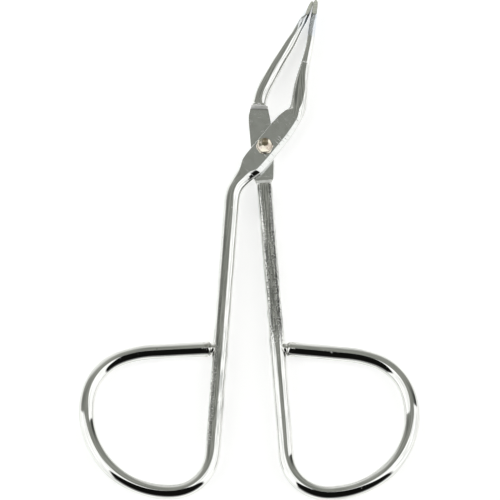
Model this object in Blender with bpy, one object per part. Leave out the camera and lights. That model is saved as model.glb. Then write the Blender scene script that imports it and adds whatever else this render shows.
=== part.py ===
"""Scissor-handled tweezers: two bent wires crossing on one rivet, closed at rest.

The tool lies flat in the XY plane. +Y points along the tool to the jaw tips, +X to the right seen from the
front, +Z out of the front face. The origin is the centre of the flat end of the rivet's tail, on the pivot axis.
Each arm is one wire: jaw, flattened lobe at the pivot, shank and finger loop, closed by a small weld bead.
"""

import math

import bpy
from mathutils import Vector

MM = 0.001

# Wire and lap joint, in millimetres
WIRE_R = 1.5
LOBE_THICK = 1.45
LAP_GAP = 0.06
REST_GAP = 0.05
CORNER_STEPS = 6
DEGREES_PER_RING = 7.0

# Rivet, in millimetres
TAIL_R = 1.45
TAIL_HIGH = 0.6
TAIL_CHAMFER = 0.15
RIVET_R = 0.93
RIVET_HOLE_R = 1.0
HEAD_R = 1.6
HEAD_RIM = 0.3
HEAD_DOME = 0.8
RIVET_SIDES = 32
DOME_RINGS = 6

# Heights of the lap joint above the flat end of the rivet's tail
WIRE_MID_Z = TAIL_HIGH + REST_GAP + LOBE_THICK
HEAD_SEAT_Z = WIRE_MID_Z + LOBE_THICK + REST_GAP

# Bend tables. Each row is a length of wire and the angle it turns through, left positive, walked away from the
# pivot. Each arm starts beside the pivot, and its heading there points to the jaw.
FRONT_START = (0.53, 0.0)
FRONT_HEADING = 51.2
FRONT_TO_TIP = [(7.9, 0.0), (3.0, 34.5), (2.5, 0.0), (3.0, -9.4), (3.8, 0.0), (4.0, 6.7), (6.0, 0.0)]
FRONT_TO_LOOP = [
    (8.7, 0.0),
    (3.5, 34.6),
    (49.0, 0.0),
    (11.3, -82.8),
    (27.7, -103.2),
    (10.3, -59.7),
    (5.8, -17.2),
    (10.3, 0.0),
]
REAR_START = (-0.62, 0.45)
REAR_HEADING = 94.4
REAR_TO_TIP = [(6.0, 0.0), (5.2, -30.3), (6.4, -5.0), (12.1, 3.7)]
REAR_TO_LOOP = [
    (59.8, 0.0),
    (11.7, 86.0),
    (10.4, 35.1),
    (17.4, 70.0),
    (9.9, 55.9),
    (5.2, 13.3),
    (10.5, 0.0),
]

# Cross-sections. Each row is a distance from the pivot (towards the tip positive) and a section:
# left and right half-widths, low and high faces from the wire's middle plane, the flat share of the back and
# front faces, the depth of the back and front edge rounding, and the slant of the section (run over rise).
# The slant runs along the line on which the two tips meet.
TIP_LINE = 72.5
LAP = LAP_GAP / 2.0
ROUND = (WIRE_R, WIRE_R, -WIRE_R, WIRE_R, 0.0, 0.0, WIRE_R, WIRE_R, 0.0)
FRONT_SECTIONS = [
    (30.2, (0.24, 0.42, -1.65, 1.65, 0.3, 0.3, 0.30, 0.30, -0.80)),
    (28.9, (0.47, 0.54, -1.65, 1.65, 0.3, 0.3, 0.35, 0.35, -0.72)),
    (27.4, (0.60, 0.62, -1.64, 1.64, 0.3, 0.3, 0.50, 0.50, -0.40)),
    (24.6, (0.70, 0.70, -1.62, 1.62, 0.2, 0.2, 0.80, 0.80, -0.10)),
    (21.0, (0.82, 0.82, -1.58, 1.58, 0.1, 0.1, 1.20, 1.20, 0.0)),
    (17.0, (1.05, 1.05, -1.53, 1.53, 0.0, 0.0, 1.50, 1.50, 0.0)),
    (13.2, (1.42, 1.42, -1.50, 1.50, 0.0, 0.0, 1.50, 1.50, 0.0)),
    (10.0, (1.58, 1.58, -1.50, 1.50, 0.0, 0.0, 1.50, 1.50, 0.0)),
    (7.7, (1.75, 1.84, -1.48, 1.47, 0.1, 0.2, 1.30, 1.20, 0.0)),
    (7.3, (1.80, 1.92, LAP, 1.46, 0.4, 0.3, 0.30, 0.95, 0.0)),
    (5.6, (2.05, 2.20, LAP, LOBE_THICK, 0.8, 0.5, 0.35, 0.90, 0.0)),
    (3.2, (2.35, 2.40, LAP, LOBE_THICK, 0.8, 0.55, 0.35, 0.90, 0.0)),
    (-3.2, (2.35, 2.40, LAP, LOBE_THICK, 0.8, 0.55, 0.35, 0.90, 0.0)),
    (-5.4, (1.95, 2.35, LAP, LOBE_THICK, 0.8, 0.5, 0.35, 0.90, 0.0)),
    (-6.9, (1.60, 1.75, LAP, 1.46, 0.6, 0.3, 0.35, 1.00, 0.0)),
    (-7.3, (1.56, 1.60, -1.48, 1.47, 0.1, 0.2, 1.30, 1.20, 0.0)),
    (-8.6, ROUND),
]
REAR_SECTIONS = [
    (29.7, (0.34, 0.34, -1.65, 1.65, 0.3, 0.3, 0.30, 0.30, -0.80)),
    (28.4, (0.44, 0.50, -1.65, 1.65, 0.3, 0.3, 0.35, 0.35, -0.72)),
    (26.9, (0.58, 0.60, -1.64, 1.64, 0.3, 0.3, 0.50, 0.50, -0.40)),
    (24.6, (0.74, 0.74, -1.62, 1.62, 0.2, 0.2, 0.80, 0.80, -0.10)),
    (21.0, (1.02, 1.02, -1.58, 1.58, 0.1, 0.1, 1.20, 1.20, 0.0)),
    (17.0, (1.20, 1.20, -1.53, 1.53, 0.0, 0.0, 1.50, 1.50, 0.0)),
    (13.0, (1.34, 1.34, -1.50, 1.50, 0.0, 0.0, 1.50, 1.50, 0.0)),
    (9.0, (1.34, 1.34, -1.50, 1.50, 0.0, 0.0, 1.50, 1.50, 0.0)),
    (7.5, (1.55, 1.60, -1.48, 1.45, 0.1, 0.1, 1.30, 1.30, 0.0)),
    (7.1, (1.65, 1.95, -1.46, -LAP, 0.2, 0.6, 1.00, 0.35, 0.0)),
    (4.5, (2.05, 2.50, -LOBE_THICK, -LAP, 0.5, 0.8, 0.90, 0.35, 0.0)),
    (-3.4, (2.10, 2.50, -LOBE_THICK, -LAP, 0.5, 0.8, 0.90, 0.35, 0.0)),
    (-5.6, (1.90, 2.20, -LOBE_THICK, -LAP, 0.5, 0.8, 0.90, 0.35, 0.0)),
    (-6.9, (1.55, 1.75, -1.46, -LAP, 0.3, 0.6, 1.00, 0.35, 0.0)),
    (-7.6, (1.52, 1.56, -1.48, 1.42, 0.1, 0.1, 1.30, 1.30, 0.0)),
    (-9.0, ROUND),
]

# Weld bead, in millimetres: distance along the loop's end and radius there
BEAD_PROFILE = [(0.05, 1.45), (0.15, 1.62), (0.6, 1.80), (1.0, 1.92), (1.4, 2.05), (1.8, 2.0)]
BEAD_SIDES = 24
SADDLE_R = WIRE_R + 0.05

CHROME = (0.62, 0.62, 0.61, 1.0)
BRASS = (0.80, 0.66, 0.42, 1.0)


def clear_scene():
    for obj in list(bpy.data.objects):
        bpy.data.objects.remove(obj, do_unlink=True)


def metal(name, colour, roughness):
    material = bpy.data.materials.new(name)
    material.use_nodes = True
    shader = material.node_tree.nodes["Principled BSDF"]
    shader.inputs["Base Color"].default_value = colour
    shader.inputs["Metallic"].default_value = 1.0
    shader.inputs["Roughness"].default_value = roughness
    material.diffuse_color = colour
    return material


def walk(start, heading, bends, distance):
    """The point and heading that many millimetres along a bend table."""
    x, y = start
    left = distance
    for length, turn in bends:
        step = min(length, left)
        angle = math.radians(heading)
        turned = math.radians(turn) * step / length
        chord = step if abs(turned) < 1e-9 else step * math.sin(turned / 2) / (turned / 2)
        x += chord * math.cos(angle + turned / 2)
        y += chord * math.sin(angle + turned / 2)
        heading += math.degrees(turned)
        left -= step
        if left <= 1e-9:
            break
    return x, y, heading


def ring_distances(bends):
    """Where rings are needed along a bend table: its ends, and close together round each bend."""
    distances = []
    travelled = 0.0
    for length, turn in bends:
        count = max(1, math.ceil(abs(turn) / DEGREES_PER_RING))
        distances += [travelled + length * i / count for i in range(count)]
        travelled += length
    return distances + [travelled]


def section_at(sections, distance):
    """The section at a distance from the pivot, straight between the rows of a table."""
    if distance <= sections[-1][0]:
        return sections[-1][1]
    if distance >= sections[0][0]:
        return sections[0][1]
    for (far, upper), (near, lower) in zip(sections, sections[1:]):
        if distance >= near:
            share = (distance - near) / (far - near)
            return tuple(a + (b - a) * share for a, b in zip(lower, upper))
    return sections[-1][1]


def section_outline(section):
    """(lateral, height, slant run) of each point of a section, right side first, counter-clockwise."""
    left, right, low, high, flat_back, flat_front, edge_back, edge_front, slant = section
    room = high - low
    if edge_back + edge_front > room:
        shrink = room / (edge_back + edge_front)
        edge_back *= shrink
        edge_front *= shrink
    middle = (low + high) / 2.0
    outline = []
    for quarter in range(4):
        side = -right if quarter in (0, 3) else left
        front = quarter in (0, 1)
        flat = flat_front if front else flat_back
        edge = edge_front if front else edge_back
        start = high - edge if front else low + edge
        for i in range(CORNER_STEPS):
            angle = math.radians((quarter + (i + 0.5) / CORNER_STEPS) * 90.0)
            reach = flat + (1.0 - flat) * abs(math.cos(angle))
            height = start + edge * math.sin(angle)
            outline.append((side * reach, height, slant * (height - middle)))
    return outline


def mesh_object(name, points, faces, material):
    mesh = bpy.data.meshes.new(name)
    mesh.from_pydata([Vector(p) * MM for p in points], [], faces)
    mesh.validate()
    mesh.update()
    obj = bpy.data.objects.new(name, mesh)
    bpy.context.scene.collection.objects.link(obj)
    if material:
        mesh.materials.append(material)
    return obj


def loft(name, rings, material):
    """A closed body through rings that all hold the same number of points."""
    sides = len(rings[0])
    points = [point for ring in rings for point in ring]
    faces = []
    for r in range(len(rings) - 1):
        for i in range(sides):
            j = (i + 1) % sides
            a, b = r * sides, (r + 1) * sides
            faces.append((a + i, a + j, b + j, b + i))
    faces.append(tuple(reversed(range(sides))))
    last = (len(rings) - 1) * sides
    faces.append(tuple(range(last, last + sides)))
    return mesh_object(name, points, faces, material)


def arm_ring(start, heading, to_tip, to_loop, sections, distance):
    if distance >= 0.0:
        x, y, angle = walk(start, heading, to_tip, distance)
    else:
        x, y, angle = walk(start, heading + 180.0, to_loop, -distance)
        angle -= 180.0
    along = Vector((math.cos(math.radians(angle)), math.sin(math.radians(angle)), 0.0))
    across = Vector((-along.y, along.x, 0.0))
    slanted = Vector((math.cos(math.radians(TIP_LINE)), math.sin(math.radians(TIP_LINE)), 0.0))
    ring = []
    for lateral, height, run in section_outline(section_at(sections, distance)):
        point = Vector((x, y, WIRE_MID_Z + height)) + across * lateral + slanted * run
        ring.append(tuple(point))
    return ring


def make_arm(name, start, heading, to_tip, to_loop, sections, material):
    distances = set(ring_distances(to_tip))
    distances |= {-d for d in ring_distances(to_loop)}
    tip = sum(length for length, _ in to_tip)
    distances |= {row[0] for row in sections if row[0] <= tip}
    ordered = sorted(distances, reverse=True)
    kept = [ordered[0]]
    for distance in ordered[1:]:
        if kept[-1] - distance > 0.12 or any(abs(distance - row[0]) < 1e-6 for row in sections):
            kept.append(distance)
    rings = [arm_ring(start, heading, to_tip, to_loop, sections, d) for d in kept]
    return loft(name, rings, material)


def cylinder(name, radius, low, high, sides):
    rings = []
    for z in (low, high):
        turns = [math.tau * (i + 0.5) / sides for i in range(sides)]
        rings.append([(radius * math.cos(t), radius * math.sin(t), z) for t in turns])
    return loft(name, rings, None)


def cut(obj, cutter):
    """Takes the cutter's volume out of an object and removes the cutter."""
    modifier = obj.modifiers.new("cut", "BOOLEAN")
    modifier.operation = "DIFFERENCE"
    modifier.solver = "EXACT"
    modifier.object = cutter
    graph = bpy.context.evaluated_depsgraph_get()
    mesh = bpy.data.meshes.new_from_object(obj.evaluated_get(graph))
    obj.modifiers.clear()
    obj.data = mesh
    bpy.data.objects.remove(cutter, do_unlink=True)


def drill_pivot(arm):
    cut(arm, cylinder("drill", RIVET_HOLE_R, WIRE_MID_Z - 3.0, WIRE_MID_Z + 3.0, RIVET_SIDES))


def make_weld(name, start, heading, to_loop, shank_distance, material):
    """The bead between the end of the loop and its own shank, hollowed to the shank's round side."""
    total = sum(length for length, _ in to_loop)
    x, y, angle = walk(start, heading + 180.0, to_loop, total)
    along = Vector((math.cos(math.radians(angle)), math.sin(math.radians(angle)), 0.0))
    across = Vector((-along.y, along.x, 0.0))
    rings = []
    for reach, radius in reversed(BEAD_PROFILE):
        ring = []
        for i in range(BEAD_SIDES):
            turn = math.tau * (i + 0.5) / BEAD_SIDES
            point = Vector((x, y, WIRE_MID_Z)) + along * reach
            point += across * (radius * math.cos(turn))
            point.z += min(radius, WIRE_R + 0.12) * math.sin(turn)
            ring.append(tuple(point))
        rings.append(ring)
    bead = loft(name, rings, material)
    sx, sy, shank_angle = walk(start, heading + 180.0, to_loop, shank_distance)
    saddle = cylinder("saddle", SADDLE_R, -8.0, 8.0, RIVET_SIDES)
    saddle.rotation_euler = (math.radians(90.0), 0.0, math.radians(shank_angle - 90.0))
    saddle.location = Vector((sx, sy, WIRE_MID_Z)) * MM
    bpy.context.view_layer.update()
    cut(bead, saddle)
    return bead


def make_rivet(material):
    profile = [
        (TAIL_R - TAIL_CHAMFER, 0.0),
        (TAIL_R, TAIL_CHAMFER),
        (TAIL_R, TAIL_HIGH),
        (RIVET_R, TAIL_HIGH),
        (RIVET_R, HEAD_SEAT_Z),
        (HEAD_R, HEAD_SEAT_Z),
    ]
    for i in range(DOME_RINGS):
        angle = math.radians(90.0 * i / DOME_RINGS)
        profile.append((HEAD_R * math.cos(angle), HEAD_SEAT_Z + HEAD_RIM + HEAD_DOME * math.sin(angle)))
    rings = []
    for radius, z in profile:
        turns = [math.tau * (i + 0.5) / RIVET_SIDES for i in range(RIVET_SIDES)]
        rings.append([(radius * math.cos(t), radius * math.sin(t), z) for t in turns])
    return loft("pivot_rivet", rings, material)


clear_scene()
chrome_front = metal("chrome_front", CHROME, 0.12)
chrome_rear = metal("chrome_rear", CHROME, 0.12)
brass = metal("brass", BRASS, 0.2)
weld_front = metal("weld_front", CHROME, 0.3)
weld_rear = metal("weld_rear", CHROME, 0.3)

front = make_arm(
    "front_arm", FRONT_START, FRONT_HEADING, FRONT_TO_TIP, FRONT_TO_LOOP, FRONT_SECTIONS, chrome_front
)
rear = make_arm("rear_arm", REAR_START, REAR_HEADING, REAR_TO_TIP, REAR_TO_LOOP, REAR_SECTIONS, chrome_rear)
drill_pivot(front)
drill_pivot(rear)
make_rivet(brass)
make_weld("front_loop_weld", FRONT_START, FRONT_HEADING, FRONT_TO_LOOP, 38.5, weld_front)
make_weld("rear_loop_weld", REAR_START, REAR_HEADING, REAR_TO_LOOP, 38.5, weld_rear)
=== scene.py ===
"""Looks of the scissor-handled tweezers: two bright-plated wire arms, their weld beads and a brass rivet.

Lengths are millimetres, in the frame of the CAD model: +Y to the jaw tips, +Z out of the front face, origin
at the flat end of the rivet's tail. A finer mesh stands for each CAD node.
"""

import math

import bpy
import numpy as np
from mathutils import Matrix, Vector


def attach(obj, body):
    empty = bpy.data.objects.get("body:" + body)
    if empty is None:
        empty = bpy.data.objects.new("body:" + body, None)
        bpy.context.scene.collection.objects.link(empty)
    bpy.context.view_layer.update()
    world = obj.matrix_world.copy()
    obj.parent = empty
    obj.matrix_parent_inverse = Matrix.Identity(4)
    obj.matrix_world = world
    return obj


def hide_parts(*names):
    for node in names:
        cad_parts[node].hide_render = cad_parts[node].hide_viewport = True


MM = 0.001
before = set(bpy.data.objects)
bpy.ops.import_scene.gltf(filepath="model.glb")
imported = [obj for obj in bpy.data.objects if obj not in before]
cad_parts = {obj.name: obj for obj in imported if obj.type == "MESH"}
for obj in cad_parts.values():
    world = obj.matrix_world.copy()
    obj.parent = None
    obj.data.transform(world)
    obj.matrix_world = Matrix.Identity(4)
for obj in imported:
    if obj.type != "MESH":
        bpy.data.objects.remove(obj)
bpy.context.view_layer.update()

# Wire and lap joint, as in the CAD model
WIRE_R = 1.5
LOBE_THICK = 1.45
LAP_GAP = 0.06
REST_GAP = 0.05
TAIL_R = 1.45
TAIL_HIGH = 0.6
RIVET_R = 0.93
RIVET_HOLE_R = 1.0
HEAD_R = 1.6
HEAD_RIM = 0.3
HEAD_DOME = 0.8
WIRE_MID_Z = TAIL_HIGH + REST_GAP + LOBE_THICK
HEAD_SEAT_Z = WIRE_MID_Z + LOBE_THICK + REST_GAP

# Bend tables: length of wire and the angle it turns through, left positive, walked away from the pivot
FRONT_START = (0.53, 0.0)
FRONT_HEADING = 51.2
FRONT_TO_TIP = [(7.9, 0.0), (3.0, 34.5), (2.5, 0.0), (3.0, -9.4), (3.8, 0.0), (4.0, 6.7), (6.0, 0.0)]
FRONT_TO_LOOP = [
    (8.7, 0.0),
    (3.5, 34.6),
    (49.0, 0.0),
    (11.3, -82.8),
    (27.7, -103.2),
    (10.3, -59.7),
    (5.8, -17.2),
    (10.3, 0.0),
]
REAR_START = (-0.62, 0.45)
REAR_HEADING = 94.4
REAR_TO_TIP = [(6.0, 0.0), (5.2, -30.3), (6.4, -5.0), (12.1, 3.7)]
REAR_TO_LOOP = [
    (59.8, 0.0),
    (11.7, 86.0),
    (10.4, 35.1),
    (17.4, 70.0),
    (9.9, 55.9),
    (5.2, 13.3),
    (10.5, 0.0),
]
BEND_EASE = 0.9
PATH_STEP = 0.1

# Cross-sections. Each row is a distance from the pivot (towards the tip positive) and a section: left and
# right half-widths, low and high faces from the wire's middle plane, the flat share of the back face and of
# the left and right halves of the front face, the depth of the back and front edge rounding, and the slant of
# the section (run over rise) along the line of the tip. Beside the lap the rear wire lies lower.
LAP = LAP_GAP / 2.0
ROUND = (WIRE_R, WIRE_R, -WIRE_R, WIRE_R, 0.0, 0.0, 0.0, WIRE_R, WIRE_R, 0.0)
FRONT_TIP_LINE = 84.0
REAR_TIP_LINE = 73.0
FRONT_SECTIONS = [
    (29.75, (0.40, 0.50, -1.65, 1.65, 0.2, 0.6, 0.6, 1.40, 0.30, -1.08)),
    (28.6, (0.50, 0.60, -1.65, 1.65, 0.2, 0.5, 0.5, 1.40, 0.35, -0.90)),
    (27.2, (0.60, 0.64, -1.64, 1.64, 0.3, 0.4, 0.3, 0.50, 0.50, -0.45)),
    (24.6, (0.70, 0.72, -1.62, 1.62, 0.2, 0.3, 0.1, 0.80, 0.80, -0.10)),
    (21.0, (0.80, 0.88, -1.58, 1.58, 0.1, 0.50, 0.0, 1.20, 1.20, 0.0)),
    (17.0, (1.05, 1.12, -1.53, 1.53, 0.0, 0.3, 0.30, 1.50, 1.40, 0.0)),
    (13.2, (1.42, 1.42, -1.50, 1.50, 0.0, 0.0, 0.55, 1.50, 1.30, 0.0)),
    (10.4, (1.60, 1.55, -1.50, 1.50, 0.0, 0.0, 0.3, 1.50, 1.30, 0.0)),
    (9.1, (1.66, 1.64, -1.48, 1.48, 0.1, 0.10, 0.2, 1.30, 1.20, 0.0)),
    (8.5, (1.70, 1.72, -1.48, 1.46, 0.1, 0.5, 0.32, 1.20, 1.00, 0.0)),
    (7.9, (1.78, 1.82, -1.48, 1.45, 0.1, 0.85, 0.42, 1.30, 0.80, 0.0)),
    (7.7, (1.82, 1.84, -1.48, 1.45, 0.1, 0.90, 0.45, 1.30, 0.80, 0.0)),
    (7.3, (1.90, 1.92, LAP, 1.45, 0.8, 0.92, 0.48, 0.30, 0.80, 0.0)),
    (5.6, (2.20, 2.20, LAP, LOBE_THICK, 0.8, 0.92, 0.52, 0.35, 0.80, 0.0)),
    (3.2, (2.30, 2.38, LAP, LOBE_THICK, 0.8, 0.92, 0.54, 0.35, 0.85, 0.0)),
    (0.0, (2.30, 2.40, LAP, LOBE_THICK, 0.8, 0.92, 0.55, 0.35, 0.90, 0.0)),
    (-3.2, (2.34, 2.38, LAP, LOBE_THICK, 0.8, 0.92, 0.53, 0.35, 0.90, 0.0)),
    (-4.9, (2.22, 2.27, LAP, LOBE_THICK, 0.8, 0.90, 0.50, 0.35, 0.90, 0.0)),
    (-5.5, (2.04, 2.08, LAP, LOBE_THICK, 0.8, 0.82, 0.34, 0.35, 0.90, 0.0)),
    (-6.1, (1.86, 1.89, LAP, 1.46, 0.8, 0.70, 0.18, 0.35, 1.00, 0.0)),
    (-6.7, (1.70, 1.75, LAP, 1.47, 0.6, 0.52, 0.12, 0.35, 1.15, 0.0)),
    (-7.3, (1.63, 1.66, -1.48, 1.48, 0.1, 0.40, 0.1, 1.30, 1.25, 0.0)),
    (-9.6, ROUND),
    (-10.6, ROUND),
]
REAR_SECTIONS = [
    (29.25, (0.40, 0.34, -1.65, 1.65, 0.2, 0.8, 0.0, 1.40, 1.90, -1.08)),
    (28.6, (0.52, 0.46, -1.65, 1.65, 0.2, 0.8, 0.0, 1.40, 1.90, -1.00)),
    (27.6, (0.80, 0.64, -1.68, 1.63, 0.3, 0.8, 0.0, 1.20, 1.80, -0.75)),
    (26.4, (0.82, 0.76, -1.75, 1.58, 0.3, 0.6, 0.1, 0.50, 1.20, -0.40)),
    (24.6, (0.78, 0.80, -1.84, 1.44, 0.2, 0.2, 0.2, 0.80, 0.80, -0.10)),
    (21.0, (1.05, 1.12, -1.92, 1.28, 0.1, 0.5, 0.1, 1.20, 1.20, 0.0)),
    (17.0, (1.28, 1.25, -1.96, 1.16, 0.0, 0.5, 0.1, 1.50, 1.50, 0.0)),
    (13.0, (1.40, 1.34, -2.00, 1.04, 0.0, 0.4, 0.1, 1.50, 1.50, 0.0)),
    (9.0, (1.42, 1.36, -2.04, 0.96, 0.0, 0.3, 0.15, 1.50, 1.50, 0.0)),
    (8.15, (1.48, 1.46, -2.05, 0.95, 0.1, 0.3, 0.2, 1.30, 1.40, 0.0)),
    (7.68, (1.60, 1.66, -1.85, 0.93, 0.2, 0.7, 0.7, 1.20, 0.60, 0.0)),
    (7.58, (1.62, 1.72, -1.80, 0.92, 0.3, 0.86, 0.88, 1.20, 0.35, 0.0)),
    (7.11, (1.70, 1.86, -1.50, 0.10, 0.5, 0.92, 0.92, 0.80, 0.30, 0.0)),
    (7.08, (1.70, 1.86, -1.45, -0.03, 0.6, 0.93, 0.93, 0.80, 0.30, 0.0)),
    (6.0, (1.97, 2.00, -1.45, -LAP, 0.7, 0.94, 0.92, 0.60, 0.30, 0.0)),
    (4.5, (2.10, 2.18, -1.45, -LAP, 0.7, 0.94, 0.88, 0.60, 0.30, 0.0)),
    (0.0, (2.08, 2.30, -1.45, -LAP, 0.7, 0.93, 0.82, 0.60, 0.30, 0.0)),
    (-3.4, (2.08, 2.25, -1.45, -LAP, 0.7, 0.93, 0.85, 0.60, 0.30, 0.0)),
    (-5.6, (1.95, 2.00, -1.45, -LAP, 0.7, 0.93, 0.90, 0.60, 0.30, 0.0)),
    (-6.72, (1.80, 1.80, -1.45, -LAP, 0.6, 0.93, 0.92, 0.60, 0.30, 0.0)),
    (-6.76, (1.78, 1.78, -1.50, 0.28, 0.6, 0.90, 0.90, 0.60, 0.35, 0.0)),
    (-7.36, (1.62, 1.60, -1.90, 0.72, 0.1, 0.75, 0.75, 1.10, 0.50, 0.0)),
    (-7.52, (1.54, 1.54, -2.05, 0.73, 0.0, 0.20, 0.20, 1.40, 1.20, 0.0)),
    (-20.0, (1.50, 1.50, -1.92, 1.01, 0.0, 0.14, 0.1, 1.50, 1.42, 0.0)),
    (-30.0, (1.50, 1.50, -1.70, 1.25, 0.0, 0.12, 0.08, 1.50, 1.45, 0.0)),
    (-38.0, (1.50, 1.50, -1.51, 1.48, 0.0, 0.05, 0.03, 1.50, 1.50, 0.0)),
    (-41.0, ROUND),
    (-43.0, ROUND),
]

# Mesh density: points round a section, the longest gap between rows that is bridged straight, and ring
# spacing by zone (far end, near end, spacing)
SECTION_POINTS = 72
OUTLINE_STEPS = 721
STRAIGHT_SPAN = 0.62
RING_ZONES = [
    (9.2, 7.7, 0.06),
    (7.7, 7.0, 0.03),
    (-6.7, -7.7, 0.03),
    (-4.2, -6.7, 0.1),
    (9.5, -9.5, 0.2),
    (40.0, 9.5, 0.2),
    (-9.5, -54.0, 0.8),
]
LOOP_RING_SPACING = 0.4
LOOP_END_ZONE = 1.0
LOOP_END_SPACING = 0.1

# Finish along each arm: rows of distance from the pivot and how strongly the finish shows there
FRONT_FINISH = {
    "pressed": [(-7.0, 0.0), (-5.8, 1.0), (7.4, 1.0), (8.6, 0.0)],
    "pitted": [
        (-61.0, 0.0),
        (-57.0, 0.7),
        (-49.0, 1.0),
        (-42.0, 0.8),
        (-40.0, 0.1),
        (-22.0, 0.1),
        (-9.0, 0.0),
    ],
    "worn": [
        (-61.0, 0.1),
        (-57.0, 0.6),
        (-42.0, 0.8),
        (-36.0, 0.3),
        (-9.0, 0.2),
        (8.6, 0.5),
        (14.0, 0.6),
        (20.0, 0.1),
    ],
    "nick": [(18.1, 0.0), (18.35, 1.0), (18.6, 0.0)],
    "satin": [(23.4, 0.0), (24.2, 0.9), (29.0, 0.9)],
    # Painted shade in the gap between the jaws' ends
    "grip": [(28.7, 0.0), (29.1, 1.0), (29.6, 1.0)],
    "ground": [(29.6, 0.0), (29.75, 1.0)],
}
REAR_FINISH = {
    "pressed": [(-7.3, 0.0), (-6.7, 1.0), (6.9, 1.0), (7.5, 0.0)],
    # Painted highlight: a near-white band on the steps beside the lap
    "sheared": [
        (-7.4, 0.0),
        (-7.3, 1.0),
        (-6.8, 1.0),
        (-6.74, 0.0),
        (7.09, 0.0),
        (7.13, 1.0),
        (7.6, 1.0),
        (7.75, 0.0),
    ],
    "pitted": [(-39.0, 0.0), (-36.0, 0.9), (-22.0, 1.0), (-18.0, 0.3), (-9.0, 0.1), (-7.0, 0.0)],
    "worn": [
        (-43.0, 0.2),
        (-38.0, 0.8),
        (-8.5, 1.0),
        (-7.6, 0.0),
        (8.0, 0.0),
        (10.0, 0.4),
        (22.0, 0.2),
    ],
    "satin": [(24.0, 0.0), (25.6, 0.5), (29.0, 0.6)],
    # Painted shade in the gap between the jaws' ends
    "grip": [(27.7, 0.0), (28.2, 1.0), (29.1, 1.0)],
    "ground": [(29.1, 0.0), (29.25, 1.0)],
}
FINISHES = ("pressed", "sheared", "pitted", "worn", "nick", "satin", "grip", "ground")

# The painted shade, near black and standing in for the shade in the gap between the jaws' ends, lies on the
# jaw's inner side, past this distance from its middle; the pits lie on the front, between two distances to
# the left of the middle
GAP_SHADE_REACH = 0.2
PIT_SOFT = 0.2
FRONT_PITS = (0.35, 1.35)
REAR_PITS = (-1.3, 1.2)

# Ground tips: how far the wire stops short of the end of its path, and the broken edge round the ground end
TIP_SHORT = 0.45
TIP_EDGE = 0.04
TIP_INSET = 0.88

# Weld beads: distance from the pivot to where the loop meets its shank, neck profile (distance past the
# loop's end, radius), the fillet onto the shank, and the taper of the loop's end inside the neck
SHANK_WELD = 38.5
NECK_PROFILE = [
    (-1.2, 1.504),
    (-0.85, 1.504),
    (-0.3, 1.504),
    (0.15, 1.504),
    (0.42, 1.49),
    (0.56, 1.40),
    (0.68, 1.20),
    (0.80, 1.08),
]
BEAD_SPREAD = 0.45
BEAD_PROUD = 0.004
BEAD_LUMP = 0.03
BEAD_LUMP_WAVES = (1.5, 5.0)
BEAD_POINTS = 64
BEAD_RINGS = 36
BEAD_LENGTH = 2.5
BEAD_END_INSET = 0.9
BEAD_FOOT_INSET = (0.8, 0.9, 0.8)
LOOP_END_TAPER = [(0.0, 1.02), (0.12, 1.25), (0.3, 1.40), (0.5, 1.48), (0.7, 1.5)]

# Hole for the rivet
DRILL_SIDES = 64
DRILL_FROM = -0.6
DRILL_TO = WIRE_MID_Z + 3.0
DRILL_UV = 6.0

# Rivet: a rim with six flats, left round towards +Y, and a crown hammered into facets (direction in degrees
# from +X, steepness) with an off-centre punch mark
TAIL_CHAMFER = 0.15
TAIL_MIDDLE_R = 0.25
RIVET_SIDES = 72
DOME_RINGS = 26
RIM_FLATS = 6
RIM_FLAT_REACH = 0.93
RIM_FLAT_TURN = 0.61
RIM_ROUND_ABOVE = 0.62
CROWN_R = 1.36
CROWN_FACETS = ((220.0, 1.0), (320.0, 1.0), (0.0, 1.0), (180.0, 1.0), (90.0, 0.62))
PUNCH_AT = (0.05, 0.45)
PUNCH_R = 0.6
PUNCH_DEPTH = 0.12
DOME_LUMP = 0.01
DOME_LUMP_WAVES = 2.5
DOME_SEED = 5

# Painted dark reflection on the crown, brown, wide at its low end and narrow at its high end, and a darker,
# redder tint on the right
DARK_REFLECTION_X = 0.06
DARK_REFLECTION_Y = (0.42, 1.35)
DARK_REFLECTION_R = (0.5, 0.2)
DARK_REFLECTION_SOFT = 0.2
RIGHT_TINT_AT = (0.75, -0.3)
RIGHT_TINT_R = 0.5
RIGHT_TINT_SOFT = 0.35


# ---------------------------------------------------------------- arms


class Spine:
    """Centreline of one arm in the wire plane, with each bend eased into the straights beside it."""

    def __init__(self, start, heading, to_tip, to_loop):
        tip_turn = self.turn_table(to_tip)
        loop_turn = self.turn_table(to_loop)
        self.tip = tip_turn[0][-1]
        self.loop_end = -loop_turn[0][-1]
        knots = np.concatenate([-loop_turn[0][:0:-1], tip_turn[0]])
        turns = np.concatenate([loop_turn[1][:0:-1], tip_turn[1]])
        self.s = np.arange(self.loop_end, self.tip + PATH_STEP / 2, PATH_STEP)
        offsets = np.linspace(-BEND_EASE, BEND_EASE, 13)
        samples = [np.interp(self.s + o, knots, turns) for o in offsets]
        self.angle = np.radians(heading + np.mean(samples, axis=0))
        middle = (self.angle[1:] + self.angle[:-1]) / 2
        step = np.diff(self.s)
        x = np.concatenate([[0.0], np.cumsum(np.cos(middle) * step)])
        y = np.concatenate([[0.0], np.cumsum(np.sin(middle) * step)])
        self.x = x - np.interp(0.0, self.s, x) + start[0]
        self.y = y - np.interp(0.0, self.s, y) + start[1]

    @staticmethod
    def turn_table(bends):
        lengths = [length for length, _ in bends]
        turns = [turn for _, turn in bends]
        return np.concatenate([[0.0], np.cumsum(lengths)]), np.concatenate([[0.0], np.cumsum(turns)])

    def at(self, distance):
        """Point and heading in radians at a distance from the pivot."""
        columns = (self.x, self.y, self.angle)
        return tuple(float(np.interp(distance, self.s, column)) for column in columns)


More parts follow.
